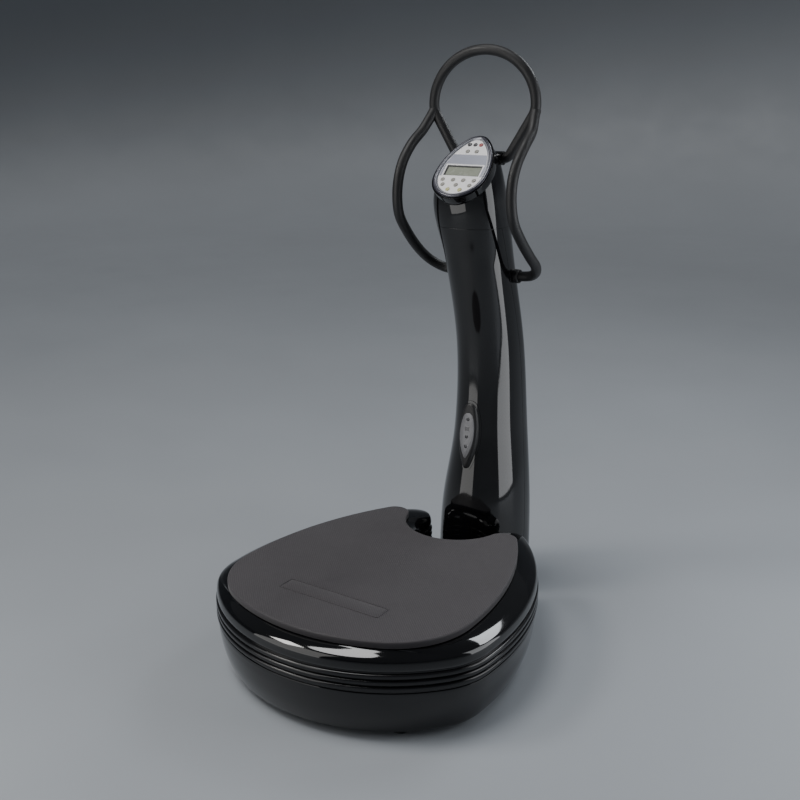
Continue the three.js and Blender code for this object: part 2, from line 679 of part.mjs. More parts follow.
function hoopCurve() {
  const curve = new THREE.CurvePath();
  const corners = [];
  const [endR, footR, topR] = legPoints(1);
  const up = topR.clone().add(new THREE.Vector3(0, 0, 50));
  bend(corners, endR, footR, topR, 16);
  bend(corners, footR, topR, up, 16);
  const flip = v => new THREE.Vector3(-v.x, v.y, v.z);
  const arch = [];
  const lift = 16;
  for (let i = 1; i < 24; i++) {
    const t = Math.PI * i / 24;
    const z = HOOP.z + lift + (HOOP.r - lift) * Math.sin(t);
    arch.push(new THREE.Vector3(HOOP.r * Math.cos(t), HOOP.y, z));
  }
  const right = corners.map(c => [c.enter, c.corner, c.leave]);
  const left = [...right].reverse().map(c => [flip(c[2]), flip(c[1]), flip(c[0])]);
  let last = endR;
  const lineTo = p => {
    if (last.distanceTo(p) > 1e-3) curve.add(new THREE.LineCurve3(last.clone(), p.clone()));
    last = p;
  };
  const bendTo = ([enter, corner, leave]) => {
    lineTo(enter);
    curve.add(new THREE.QuadraticBezierCurve3(enter.clone(), corner.clone(), leave.clone()));
    last = leave;
  };
  right.forEach(bendTo);
  const archCurve = new THREE.CatmullRomCurve3([last.clone(), ...arch, flip(last)], false, 'centripetal');
  curve.add(archCurve);
  last = flip(last);
  left.forEach(bendTo);
  lineTo(flip(endR));
  return curve;
}

function handleCurve(side) {
  const points = HANDLE_ROUTE.map(([x, y, z]) => new THREE.Vector3(side * x, y, z));
  return new THREE.CatmullRomCurve3(points, false, 'centripetal');
}

function buildHandrail() {
  const hoop = tube(hoopCurve(), 64);
  add('upper_hoop', hoop, 'grip');
  const clearance = tube(hoopCurve(), 64, TUBE_R + GAP);
  for (const [name, side] of [['left_handle', -1], ['right_handle', 1]]) {
    add(name, cut(tube(handleCurve(side), 38), [clearance]), 'grip');
  }
}

buildPlatform();
buildColumn();
buildConsole();
buildRemote();
buildHandrail();

export default group;
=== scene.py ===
"""Looks of a whole-body vibration plate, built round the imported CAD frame. Metres, +Z up.

Shapes are worked out in the plate frame, whose Y axis has its zero near the middle of the
mat, and are then moved by SHIFT to the row frame, which the CAD bodies use.
"""
import math

import bpy
import numpy as np
from mathutils import Matrix, Vector


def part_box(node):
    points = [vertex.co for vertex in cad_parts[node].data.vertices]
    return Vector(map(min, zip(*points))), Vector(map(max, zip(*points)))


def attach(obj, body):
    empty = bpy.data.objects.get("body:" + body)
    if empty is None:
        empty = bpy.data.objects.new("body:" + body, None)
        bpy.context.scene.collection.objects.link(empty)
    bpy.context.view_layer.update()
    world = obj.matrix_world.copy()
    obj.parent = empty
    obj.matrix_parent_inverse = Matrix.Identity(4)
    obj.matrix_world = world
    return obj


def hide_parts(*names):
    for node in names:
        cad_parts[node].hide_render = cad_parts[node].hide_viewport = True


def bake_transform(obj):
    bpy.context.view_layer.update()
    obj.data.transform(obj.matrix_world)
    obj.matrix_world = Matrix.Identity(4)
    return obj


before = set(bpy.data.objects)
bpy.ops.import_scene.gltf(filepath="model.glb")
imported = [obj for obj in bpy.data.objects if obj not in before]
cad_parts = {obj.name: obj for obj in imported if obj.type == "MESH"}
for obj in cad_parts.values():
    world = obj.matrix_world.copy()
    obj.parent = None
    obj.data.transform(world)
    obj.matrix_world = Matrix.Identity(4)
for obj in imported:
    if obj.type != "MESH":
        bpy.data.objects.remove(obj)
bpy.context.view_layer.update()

# ------------------------------------------------------------------ driving dimensions
GAP = 0.0003

# Platform outlines: front arc, front corners, side arcs, rear lobes and notch. The mat has
# its own; the shell round it flares out at the sides, and is given here shrunk by RIM_OUT.
PLATE = dict(front_y=-0.378, front_r=0.511, corner_r=0.219, side_x=0.553, side_y=-0.113,
             half_width=0.348, lobe_r=0.042, notch_y=0.384, notch_r=0.146)
SHELL = dict(front_y=-0.378, front_r=0.431, corner_r=0.161, side_x=0.340, side_y=-0.068,
             half_width=0.370, lobe_r=0.018, notch_y=0.384, notch_r=0.146)
FLARE = 0.030  # the skirt goes over from one outline to the other within this
SPINE_SLOT = dict(size=(0.1906, 0.36, 0.0086), centre=(0, 0.35, 0.022))
SHIFT = Vector((0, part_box("rubber_mat")[0].y - PLATE["front_y"], 0))

MAT_BOTTOM, MAT_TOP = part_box("rubber_mat")[0].z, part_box("rubber_mat")[1].z
BELLOWS_BOTTOM, BELLOWS_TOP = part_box("bellows")[0].z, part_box("bellows")[1].z
SKIRT_BOTTOM, SKIRT_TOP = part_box("upper_skirt")[0].z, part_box("upper_skirt")[1].z
HOUSING_BOTTOM, HOUSING_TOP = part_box("lower_housing")[0].z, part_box("lower_housing")[1].z
GROOVE_OUT, RIM_OUT = 0.0325, 0.0387
GROOVE_Z, RIB_PITCH, RIB_COUNT = 0.1387, 0.0163, 3

# Column sections by height: half width, front, widest line and back.
COLUMN = np.array([
    (0.000, 0.130, 0.405, 0.570, 0.672),
    (0.260, 0.126, 0.420, 0.577, 0.666),
    (0.500, 0.100, 0.455, 0.600, 0.672),
    (0.750, 0.091, 0.455, 0.578, 0.646),
    (1.000, 0.090, 0.395, 0.492, 0.577),
    (1.160, 0.096, 0.345, 0.420, 0.530),
    (1.260, 0.076, 0.352, 0.430, 0.508),
    (1.340, 0.040, 0.400, 0.450, 0.492),
])
NOSE_POWER, BACK_POWER = 2.2, 3.0
COLUMN_BOTTOM, COLUMN_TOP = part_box("column_front_shell")[0].z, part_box("column_front_shell")[1].z
WALL = 0.003
SHELL_LEVELS = 110
FRONT_SEAM = -0.0002
TRIM_OUT, TRIM_TOP = 0.008, 0.062

# Console face on its tilted plane, and the remote control's face on the column.
FACE_ORIGIN, FACE_TILT = Vector((0, 0.391, 1.252)), math.radians(44)
FACE = dict(y1=-0.013, r1=0.066, y2=0.082, r2=0.027, side=0.150)
WINDOW_X, WINDOW_Y = 0.054, 0.018
KEY_R = 0.0061
KEY_ROWS = [
    (0.092, (-0.0175, 0, 0.0175)),
    (0.068, (-0.0138, 0.0138)),
    (-0.033, (-0.0476, -0.0156, 0.0156, 0.0476)),
    (-0.050, (-0.041, 0, 0.041)),
    (-0.066, (-0.0182, 0.0182)),
]
REMOTE_ORIGIN, REMOTE_TILT = Vector((0, 0.4379, 0.492)), math.radians(82)
REMOTE_POD = dict(y1=-0.087, r1=0.007, y2=0.080, r2=0.018, side=0.250)
REMOTE_FACE = dict(y1=-0.059, r1=0.0045, y2=0.053, r2=0.0165, side=0.150)
DOCK_MARGIN = 0.008
DOCK_THICK = 0.002
REMOTE_KEY_R = 0.0048
REMOTE_KEYS = (0.052, 0, -0.029)
REMOTE_SCREEN_X, REMOTE_SCREEN_TALL, REMOTE_SCREEN_Y = 0.014, 0.011, 0.023

# Handrail tube: a hoop behind the console and a bent handle on each side.
TUBE_R, TUBE_HOLE_R = 0.014, 0.0148
HOOP_Y, HOOP_Z, HOOP_R = 0.497, 1.405, 0.1565
LEG_FOOT = (0.078, 1.281)
LEG_END_X = 0.050
ARCH_LIFT, BEND = 0.016, 0.016
BOSS_R, BOSS_END = 0.0185, 0.066  # round bar across the head that the hoop's legs run into
HANDLE_ROUTE = [
    (0.158, 0.488, 1.393), (0.167, 0.457, 1.354), (0.172, 0.407, 1.317), (0.173, 0.366, 1.275),
    (0.1735, 0.344, 1.229), (0.175, 0.339, 1.180), (0.177, 0.352, 1.129), (0.1785, 0.393, 1.079),
    (0.179, 0.448, 1.029), (0.176, 0.491, 0.997), (0.163, 0.518, 0.976), (0.140, 0.535, 0.962),
    (0.110, 0.540, 0.957), (0.072, 0.540, 0.956),
]
SOCKET_Y, SOCKET_Z, SOCKET_R = 0.540, 0.9562, 0.0195


# ------------------------------------------------------------------ outlines and profiles
def arc(centre, r, start, end, steps):
    """Points on an arc, its last one left out."""
    t = start + (end - start) * np.arange(steps) / steps
    return np.stack([centre[0] + r * np.cos(t), centre[1] + r * np.sin(t)], 1)


def circle_centre(a, ra, b, rb, side):
    """Centre at distance ra from a and rb from b, left (+1) or right (-1) of a to b."""
    a, b = np.array(a), np.array(b)
    d = np.linalg.norm(b - a)
    ahead = (b - a) / d
    along = (ra * ra - rb * rb + d * d) / (2 * d)
    off = side * math.sqrt(max(ra * ra - along * along, 0))
    return a + ahead * along + np.array([-ahead[1], ahead[0]]) * off


def heading(a, b):
    return math.atan2(b[1] - a[1], b[0] - a[0])


def mirrored(half):
    """A half outline whose ends lie on the Y axis, and its mirror image."""
    return np.concatenate([half, half[-2:0:-1] * [-1, 1]])


def plate_outline(grow, plan=PLATE):
    """Platform outline, moved outwards by grow, counter-clockwise from the front centre."""
    front_r, corner_r, lobe_r, notch_r = (plan[k] for k in ("front_r", "corner_r", "lobe_r", "notch_r"))
    front, notch = (0, plan["front_y"] + front_r), (0, plan["notch_y"])
    side = (-plan["side_x"], plan["side_y"])
    side_r = plan["side_x"] + plan["half_width"]
    corner = circle_centre(front, front_r - corner_r, side, side_r - corner_r, 1)
    lobe = circle_centre(side, side_r - lobe_r, notch, notch_r + lobe_r, -1)
    inwards = heading(lobe, notch) % (2 * math.pi)
    return mirrored(np.concatenate([
        arc(front, front_r + grow, -math.pi / 2, heading(front, corner), 30),
        arc(corner, corner_r + grow, heading(front, corner), heading(side, corner), 36),
        arc(side, side_r + grow, heading(side, corner), heading(side, lobe), 36),
        arc(lobe, lobe_r + grow, heading(side, lobe), inwards, 28),
        arc(notch, notch_r - grow, heading(notch, lobe), -math.pi / 2, 30),
        [(0, plan["notch_y"] - notch_r + grow)],
    ]))


def shell_outline(grow):
    return plate_outline(grow, SHELL)


def skirt_outline(grow):
    """The mat's outline at its edge, the shell's from FLARE outwards."""
    share = min(max(grow / FLARE, 0), 1)
    return plate_outline(grow) * (1 - share) + shell_outline(grow) * share


def drop_outline(shape, grow):
    """Teardrop or leaf: two end circles on the Y axis joined by wide side arcs."""
    low, high = (0, shape["y1"]), (0, shape["y2"])
    side = circle_centre(low, shape["side"] - shape["r1"], high, shape["side"] - shape["r2"], 1)
    n = 28
    return mirrored(np.concatenate([
        arc(low, shape["r1"] + grow, -math.pi / 2, heading(side, low), n),
        arc(side, shape["side"] + grow, heading(side, low), heading(side, high), n),
        arc(high, shape["r2"] + grow, heading(side, high), math.pi / 2, n),
        [(0, shape["y2"] + shape["r2"] + grow)],
    ]))


def catmull(points, per):
    """Centripetal Catmull-Rom curve through points, with per samples a span."""
    p = np.array(points, float)
    p = np.concatenate([[2 * p[0] - p[1]], p, [2 * p[-1] - p[-2]]])
    out = []
    for a, b, c, d in zip(p, p[1:], p[2:], p[3:]):
        gaps = [max(np.linalg.norm(v - u), 1e-9) ** 0.5 for u, v in ((a, b), (b, c), (c, d))]
        knots = np.cumsum([0, *gaps])
        t = np.linspace(knots[1], knots[2], per, endpoint=False)[:, None]

        def mix(u, v, i, j):
            return ((knots[j] - t) * u + (t - knots[i]) * v) / (knots[j] - knots[i])

        ab, bc, cd = mix(a, b, 0, 1), mix(b, c, 1, 2), mix(c, d, 2, 3)
        out.append(mix(mix(ab, bc, 0, 2), mix(bc, cd, 1, 3), 1, 2))
    return np.concatenate([*out, p[-2:-1]])


def column_section(z):
    """Half width, front, widest line and back of the column at height z."""
    i = int(np.clip(np.searchsorted(COLUMN[:, 0], z, side="right") - 1, 0, len(COLUMN) - 2))

    def slope(k):
        low, high = COLUMN[max(k - 1, 0)], COLUMN[min(k + 1, len(COLUMN) - 1)]
        return (high[1:] - low[1:]) / (high[0] - low[0])

    span = COLUMN[i + 1, 0] - COLUMN[i, 0]
    t = (z - COLUMN[i, 0]) / span
    rise = (COLUMN[i + 1, 1:] - COLUMN[i, 1:]) * t * t * (3 - 2 * t)
    curl = slope(i) * span * t * (1 - t) ** 2 - slope(i + 1) * span * t * t * (1 - t)
    return COLUMN[i, 1:] + rise + curl


def half_section(z, grow, rear, steps):
    """Evenly spaced points of the rear or front half of the column's section."""
    a, front, middle, back = column_section(z)
    t = np.linspace(0, math.pi, 400) + (0 if rear else math.pi)
    power = 2 / (BACK_POWER if rear else NOSE_POWER)
    depth = (back - middle if rear else middle - front) + grow
    c, k = np.cos(t), np.sin(t)
    x = (a + grow) * np.sign(c) * np.abs(c) ** power
    y = middle + depth * np.sign(k) * np.abs(k) ** power
    run = np.concatenate([[0], np.cumsum(np.hypot(np.diff(x), np.diff(y)))])
    even = np.linspace(0, run[-1], steps + 1)
    return np.stack([np.interp(even, run, x), np.interp(even, run, y), np.full(steps + 1, z)], 1)


def section_ring(z, grow, steps=56):
    return np.concatenate([half_section(z, grow, rear, steps)[:-1] for rear in (True, False)])


def at_height(outline, z):
    return np.column_stack([outline, np.full(len(outline), z)])


# ------------------------------------------------------------------ meshes
def mesh_object(name, points, faces):
    mesh = bpy.data.meshes.new(name)
    mesh.from_pydata([tuple(p) for p in points], [], faces)
    mesh.validate()
    mesh.update()
    piece = bpy.data.objects.new(name, mesh)
    bpy.context.scene.collection.objects.link(piece)
    return piece


def loft(name, rings, looped=False, open_shell=False):
    """Surface through rings of equal count. looped joins the last ring to the first, and
    open_shell closes the ends of a wall whose ring runs out along one side and back along the other."""
    m = len(rings[0])
    n = len(rings)
    faces = []
    for r in range(n if looped else n - 1):
        a, b = r * m, (r + 1) % n * m
        faces += [(a + i, a + (i + 1) % m, b + (i + 1) % m, b + i) for i in range(m)]
    if open_shell:
        last = (n - 1) * m
        for i in range(m // 2 - 1):
            strip = (i, m - 1 - i, m - 2 - i, i + 1)
            faces += [strip, tuple(last + k for k in reversed(strip))]
    elif not looped:
        faces += [tuple(reversed(range(m))), tuple(range((n - 1) * m, n * m))]
    return mesh_object(name, np.concatenate(rings), faces)


def band(name, outline, profile):
    """A closed profile of (grow, z), up its outer side and down its inner side, round an outline."""
    return loft(name, [at_height(outline(grow), z) for grow, z in profile], looped=True)


def sweep(name, path, r, domed_start=False):
    """A round tube along a path, with flat ends or a domed start."""
    sides = 32
    path = np.array(path, float)
    tangent = np.gradient(path, axis=0)
    tangent /= np.linalg.norm(tangent, axis=1)[:, None]
    across = np.cross(tangent[0], (0.3, 1, 0.2))
    rings = []
    for p, t in zip(path, tangent):
        across = across - t * (across @ t)
        across /= np.linalg.norm(across)
        over = np.cross(t, across)
        turn = 2 * math.pi * np.arange(sides) / sides
        rings.append(p + r * (np.outer(np.cos(turn), across) + np.outer(np.sin(turn), over)))
    if domed_start:
        rim = rings[0] - path[0]
        dome = [path[0] - tangent[0] * r * math.sin(t) + rim * math.cos(t) for t in np.linspace(1.5, 0.2, 8)]
        rings = dome + rings
    return loft(name, rings)


def turned(name, profile, sides=40):
    """A closed body turned round Z from (radius, z) points, first and last on the axis."""
    turn = 2 * math.pi * np.arange(sides) / sides
    rings = [
        np.stack([max(r, 2e-5) * np.cos(turn), max(r, 2e-5) * np.sin(turn), np.full(sides, z)], 1)
        for r, z in profile
    ]
    return loft(name, rings)


def rounded(corners, radius, steps=5):
    """A closed profile with each corner turned into a small arc."""
    p = np.array(corners, float)
    out = []
    for before, here, after in zip(np.roll(p, 1, 0), p, np.roll(p, -1, 0)):
        back, on = before - here, after - here
        reach = min(radius, 0.45 * np.linalg.norm(back), 0.45 * np.linalg.norm(on))
        start = here + back / np.linalg.norm(back) * reach
        end = here + on / np.linalg.norm(on) * reach
        for t in np.linspace(0, 1, steps):
            out.append(start * (1 - t) ** 2 + here * 2 * t * (1 - t) + end * t * t)
    return np.array(out)


def box_object(name, size, centre):
    low, high = np.array(centre) - np.array(size) / 2, np.array(centre) + np.array(size) / 2
    ring = [(low[0], low[1]), (high[0], low[1]), (high[0], high[1]), (low[0], high[1])]
    return loft(name, [at_height(np.array(ring), z) for z in (low[2], high[2])])


def rod_x(name, r, x0, x1, y, z):
    """A round rod along X."""
    sides = 48
    turn = 2 * math.pi * np.arange(sides) / sides
    ring = np.stack([np.zeros(sides), y + r * np.cos(turn), z + r * np.sin(turn)], 1)
    return loft(name, [ring + [x, 0, 0] for x in sorted((x0, x1))])


def place(piece, origin, tilt):
    """Carries a piece from a tilted face's own axes to the plate frame."""
    piece.data.transform(Matrix.Translation(origin) @ Matrix.Rotation(tilt, 4, "X"))
    return piece


def apply_modifiers(piece):
    graph = bpy.context.evaluated_depsgraph_get()
    mesh = bpy.data.meshes.new_from_object(piece.evaluated_get(graph))
    piece.modifiers.clear()
    piece.data = mesh


def combine(piece, *tools, operation="DIFFERENCE"):
    """Cuts the tools from the piece, or joins or intersects it with them, and removes them."""
    for tool in tools:
        step = piece.modifiers.new("combine", "BOOLEAN")
        step.operation = operation
        step.solver = "EXACT"
        step.object = tool
    apply_modifiers(piece)
    for tool in tools:
        bpy.data.objects.remove(tool)


def soften(piece, width, segments=3, angle=35):
    """Rounds the sharp edges of a piece by width."""
    edge = piece.modifiers.new("soften", "BEVEL")
    edge.width = width
    edge.segments = segments
    edge.limit_method = "ANGLE"
    edge.angle_limit = math.radians(angle)
    edge.harden_normals = False
    return piece


def dress(piece, material, body, replaces=(), sharp=35, moved=False):
    """Moves a finished piece to the row frame, shades it, and puts it on its body."""
    if not moved:
        piece.data.transform(Matrix.Translation(SHIFT))
    piece.data.materials.clear()
    piece.data.materials.append(material)
    piece.data.shade_smooth()
    piece.data.set_sharp_from_angle(angle=math.radians(sharp))
    if body:
        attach(piece, body)
    if replaces:
        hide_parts(*replaces)
    return piece


# ------------------------------------------------------------------ materials
class Nodes:
    """A material's node tree, with the few kinds of node that the finishes share."""

    def __init__(self, name):
        self.material = bpy.data.materials.new(name)
        self.material.use_nodes = True
        self.tree = self.material.node_tree
        self.shader = self.tree.nodes["Principled BSDF"]
        self.place = self.add("ShaderNodeTexCoord").outputs["Object"]

    def add(self, kind, **settings):
        node = self.tree.nodes.new(kind)
        for key, value in settings.items():
            setattr(node, key, value)
        return node

    def link(self, source, target):
        self.tree.links.new(source, target)

    def noise(self, scale, detail=4.0, stretch=None):
        place = self.place
        if stretch:
            mapping = self.add("ShaderNodeMapping")
            mapping.inputs["Scale"].default_value = stretch
            self.link(place, mapping.inputs["Vector"])
            place = mapping.outputs["Vector"]
        node = self.add("ShaderNodeTexNoise")
        node.inputs["Scale"].default_value = scale
        node.inputs["Detail"].default_value = detail
        self.link(place, node.inputs["Vector"])
        return node.outputs["Fac"]

    def spread(self, source, low, high, start=0.3, end=0.7):
        """Maps a 0 to 1 value onto low to high."""
        node = self.add("ShaderNodeMapRange")
        for key, value in (("From Min", start), ("From Max", end), ("To Min", low), ("To Max", high)):
            node.inputs[key].default_value = value
        self.link(source, node.inputs["Value"])
        return node.outputs["Result"]

    def times(self, a, b):
        node = self.add("ShaderNodeMath", operation="MULTIPLY")
        self.link(a, node.inputs[0])
        self.link(b, node.inputs[1])
        return node.outputs["Value"]

    def mix(self, factor, a, b):
        """Blends two colours, each a tuple or a socket."""
        node = self.add("ShaderNodeMix", data_type="RGBA")
        self.link(factor, node.inputs["Factor"])
        for socket, value in ((node.inputs[6], a), (node.inputs[7], b)):
            if isinstance(value, tuple):
                socket.default_value = (*value, 1)
            else:
                self.link(value, socket)
        return node.outputs[2]

    def bump(self, height, depth, strength=1.0, under=None):
        node = self.add("ShaderNodeBump")
        node.inputs["Strength"].default_value = strength
        node.inputs["Distance"].default_value = depth
        self.link(height, node.inputs["Height"])
        if under:
            self.link(under, node.inputs["Normal"])
        return node.outputs["Normal"]


def tinted(colour, share):
    return tuple(min(c * share, 1.0) for c in colour)


def finish_material(name, colour, roughness, metallic=0.0, coat=0.0, tint=0.12, rough_spread=0.05,
                    cloud=6.0, grain=900.0, grain_depth=0.00003, stretch=None, wear=0.0):
    """A moulded, painted or machined surface: cloudy colour, uneven gloss, fine grain, and
    rubbed edges where wear is above 0."""
    n = Nodes(name)
    shader = n.shader
    shader.inputs["Metallic"].default_value = metallic
    shader.inputs["Coat Weight"].default_value = coat
    shader.inputs["Coat Roughness"].default_value = 0.05
    clouds = n.noise(cloud, 5.0)
    base = n.mix(n.spread(clouds, 0, 1), tinted(colour, 1 - tint), tinted(colour, 1 + tint))
    rough = n.spread(n.noise(cloud * 3.7, 6.0), roughness - rough_spread, roughness + rough_spread)
    if wear:
        edge = n.spread(n.add("ShaderNodeNewGeometry").outputs["Pointiness"], 0, wear, 0.51, 0.58)
        base = n.mix(edge, base, tinted(colour, 2.2))
    n.link(base, shader.inputs["Base Color"])
    n.link(rough, shader.inputs["Roughness"])
    n.link(n.bump(n.noise(grain, 3.0, stretch), grain_depth), shader.inputs["Normal"])
    return n.material


def mat_material():
    """Charcoal rubber with rows of small raised dots, cloudy tone, and painted shade in the low places
    between the dots.
    """
    n = Nodes("dotted_rubber")
    turn = n.add("ShaderNodeMapping")
    turn.inputs["Rotation"].default_value = (0, 0, math.radians(45))
    n.link(n.place, turn.inputs["Vector"])
    dots = n.add("ShaderNodeTexVoronoi", voronoi_dimensions="2D")
    dots.inputs["Scale"].default_value = 1 / 0.0052
    dots.inputs["Randomness"].default_value = 0
    n.link(turn.outputs["Vector"], dots.inputs["Vector"])
    facing = n.add("ShaderNodeSeparateXYZ")
    n.link(n.add("ShaderNodeTexCoord").outputs["Normal"], facing.inputs["Vector"])
    height = n.times(n.spread(dots.outputs["Distance"], 1, 0, 0.18, 0.40),
                     n.spread(facing.outputs["Z"], 0, 1, 0.75, 0.95))
    clouds = n.noise(3.0, 6.0)
    # The low colours are painted shade: the places between the dots, and faces that do not point up such as
    # the mat's sides, are drawn darker than the dot tops.
    low = n.mix(n.spread(clouds, 0, 1), (0.023, 0.020, 0.023), (0.031, 0.027, 0.031))
    top = n.mix(n.spread(clouds, 0, 1), (0.044, 0.039, 0.044), (0.054, 0.047, 0.053))
    n.link(n.mix(height, low, top), n.shader.inputs["Base Color"])
    n.link(n.spread(n.noise(9.0, 5.0), 0.55, 0.72), n.shader.inputs["Roughness"])
    n.shader.inputs["Sheen Weight"].default_value = 0.15
    grain = n.bump(n.noise(1800.0, 2.0), 0.00006)
    n.link(n.bump(height, 0.0005, 0.9, grain), n.shader.inputs["Normal"])
    return n.material


def display_material():
    """Grey-green liquid crystal behind a clear pane, with its faint grid of cells."""
    n = Nodes("liquid_crystal")
    cells = n.add("ShaderNodeTexBrick")
    cells.offset = 0.0
    for key, value in (("Color1", (0.31, 0.33, 0.27, 1)), ("Color2", (0.33, 0.35, 0.28, 1)),
                       ("Mortar", (0.27, 0.29, 0.23, 1))):
        cells.inputs[key].default_value = value
    for key, value in (("Scale", 1.0), ("Mortar Size", 0.00012), ("Brick Width", 0.0012),
                       ("Row Height", 0.0014)):
        cells.inputs[key].default_value = value
    n.link(n.place, cells.inputs["Vector"])
    shade = n.mix(n.spread(n.noise(20.0), 0, 0.35), cells.outputs["Color"], (0.24, 0.26, 0.21))
    n.link(shade, n.shader.inputs["Base Color"])
    n.link(n.spread(n.noise(60.0), 0.18, 0.30), n.shader.inputs["Roughness"])
    n.shader.inputs["Coat Weight"].default_value = 0.6
    n.shader.inputs["Coat Roughness"].default_value = 0.04
    return n.material


GLOSS = finish_material("gloss_black", (0.0030, 0.0030, 0.0036), 0.055, coat=0.3, tint=0.2,
                        rough_spread=0.020, grain=160.0, grain_depth=0.000004)
BELLOWS = finish_material("ribbed_rubber", (0.006, 0.006, 0.007), 0.17, tint=0.2, rough_spread=0.03,
                          grain=500.0, grain_depth=0.000004)
MATTE = finish_material("textured_black", (0.012, 0.012, 0.013), 0.48, grain=1600.0,
                        grain_depth=0.00008, wear=0.25)
FOOT_RUBBER = finish_material("foot_rubber", (0.015, 0.015, 0.015), 0.75, grain=1300.0,
                              grain_depth=0.0001)
GRIP = finish_material("soft_touch_grip", (0.011, 0.011, 0.012), 0.50, tint=0.14, rough_spread=0.07,
                       grain=1500.0, grain_depth=0.00004)
STEEL = finish_material("machined_steel", (0.44, 0.44, 0.46), 0.32, metallic=1.0, grain=700.0,
                        grain_depth=0.00004, stretch=(1, 12, 12))
PAINTED = finish_material("powder_coat", (0.028, 0.029, 0.032), 0.42, grain=900.0,
                          grain_depth=0.00012, wear=0.3)
SILVER = finish_material("silver_plastic", (0.36, 0.37, 0.41), 0.30, metallic=0.45, coat=0.2, tint=0.05,
                         grain=900.0, grain_depth=0.000006)
SLATE = finish_material("slate_plastic", (0.050, 0.050, 0.066), 0.28, metallic=0.3, coat=0.3, tint=0.06,
                        grain=900.0, grain_depth=0.000006)
LEAF_SILVER = finish_material("leaf_silver", (0.20, 0.20, 0.21), 0.42, metallic=0.35, tint=0.05,
                              grain=900.0, grain_depth=0.000006)
DARK_SILVER = finish_material("band_silver", (0.27, 0.28, 0.33), 0.36, metallic=0.55, tint=0.05,
                              grain=2400.0, grain_depth=0.00003)
WHITE = finish_material("white_overlay", (0.92, 0.91, 0.92), 0.36, tint=0.03, grain=1200.0,
                        grain_depth=0.000008)
SCREEN = finish_material("dark_screen", (0.030, 0.031, 0.034), 0.20, coat=0.5, tint=0.08, grain=800.0,
                         grain_depth=0.000003)
MAT = mat_material()
DISPLAY = display_material()
BOARD = finish_material("solder_mask", (0.02, 0.10, 0.04), 0.4, grain=1500.0)
KEY_FINISH = {
    "dark": finish_material("key_dark", (0.045, 0.045, 0.05), 0.30, grain=1500.0),
    "red": finish_material("key_red", (0.34, 0.075, 0.075), 0.30, grain=1500.0),
    "grey": finish_material("key_grey", (0.30, 0.29, 0.26), 0.30, grain=1500.0),
    "yellow": finish_material("key_yellow", (0.50, 0.48, 0.22), 0.30, grain=1500.0),
}
KEY_COLOURS = ["dark", "dark", "red"] + ["grey"] * 9 + ["yellow"] * 2


# ------------------------------------------------------------------ platform
def rib_profile():
    """Outer side of the bellows, from its foot to its top: three rounded ribs."""
    points = [(GROOVE_OUT, BELLOWS_BOTTOM)]
    width = 0.80 * RIB_PITCH
    for k in range(RIB_COUNT):
        low = GROOVE_Z + k * RIB_PITCH + (RIB_PITCH - width) / 2
        for t in np.linspace(-1, 1, 17):
            out = (1 - abs(t) ** 3.2) ** 0.5
            points.append((GROOVE_OUT + (RIM_OUT - GROOVE_OUT) * out, low + width * (t + 1) / 2))
    points.append((GROOVE_OUT, BELLOWS_TOP))
    return points


def build_platform():
    inner = 0.028
    ribs = rib_profile() + [(inner, BELLOWS_TOP), (inner, BELLOWS_BOTTOM)]
    bellows = dress(band("bellows_skin", shell_outline, ribs), BELLOWS, None, sharp=60)
    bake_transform(bellows)
    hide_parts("bellows")

    outer = catmull([(0.0075, 0.0175), (0.014, 0.026), (0.0255, 0.060), (0.0335, 0.105), (0.0355, 0.128)], 8)
    rim = [(0.0354, 0.1325), (0.0346, 0.1349), (0.0332, HOUSING_TOP)]
    inside = [(0.028, HOUSING_TOP), (0.0285, 0.105), (0.021, 0.062), (0.009, 0.030), (-0.001, 0.0265),
              (-0.001, HOUSING_BOTTOM)]
    hem = [(0.0050, HOUSING_BOTTOM)]
    housing = band("lower_housing_skin", shell_outline, [*hem, *outer, *rim, *inside])
    combine(housing, box_object("spine_slot", **SPINE_SLOT))
    dress(housing, GLOSS, "frame", ["lower_housing"])

    shoulder = catmull([(0.0342, 0.1910), (0.036, 0.198), (0.0352, 0.208), (0.0335, 0.2145), (0.0300, 0.2195),
                        (0.022, 0.2258), (0.011, 0.2312), (0.001, SKIRT_TOP)], 8)
    lip = [(-0.0117, SKIRT_TOP), (-0.0117, 0.2305), (0.011, 0.2265), (0.022, 0.219), (0.0285, 0.208)]
    hem = [(0.0305, SKIRT_BOTTOM), (0.0335, SKIRT_BOTTOM)]
    skirt = band("upper_skirt_skin", skirt_outline, [*shoulder, *lip, *hem])
    dress(skirt, GLOSS, "plate", ["upper_skirt"])

    edge = [(-0.0012, MAT_BOTTOM), (-0.0003, MAT_BOTTOM + 0.0008)]
    edge += [(-0.0042 * (1 - math.cos(t)), MAT_TOP - 0.0042 * (1 - math.sin(t)))
             for t in np.linspace(0, math.pi / 2, 9)]
    edge += [(-0.012, MAT_TOP), (-0.040, MAT_TOP)]
    rubber = loft("rubber_mat_skin", [at_height(plate_outline(g), z) for g, z in edge])
    dress(rubber, MAT, "plate", ["rubber_mat"], sharp=50)
    build_mat_badge()

    for i in range(1, 5):
        low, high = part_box(f"isolator_{i}")
        r = (high.x - low.x) / 2
        middle = (high + low) / 2
        waist = [(r * (0.86 + 0.14 * abs(math.cos(math.pi * t))), low.z + (high.z - low.z) * t)
                 for t in np.linspace(0, 1, 17)]
        block = turned(f"isolator_block_{i}", [(0, low.z), *waist, (0, high.z)])
        block.data.transform(Matrix.Translation((middle.x, middle.y, 0)))
        dress(block, FOOT_RUBBER, None, moved=True)
        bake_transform(block)
        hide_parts(f"isolator_{i}")


BADGE_Y = -0.2117
BADGE_HALF = (0.152, 0.027)
BADGE_RISE = 0.0016


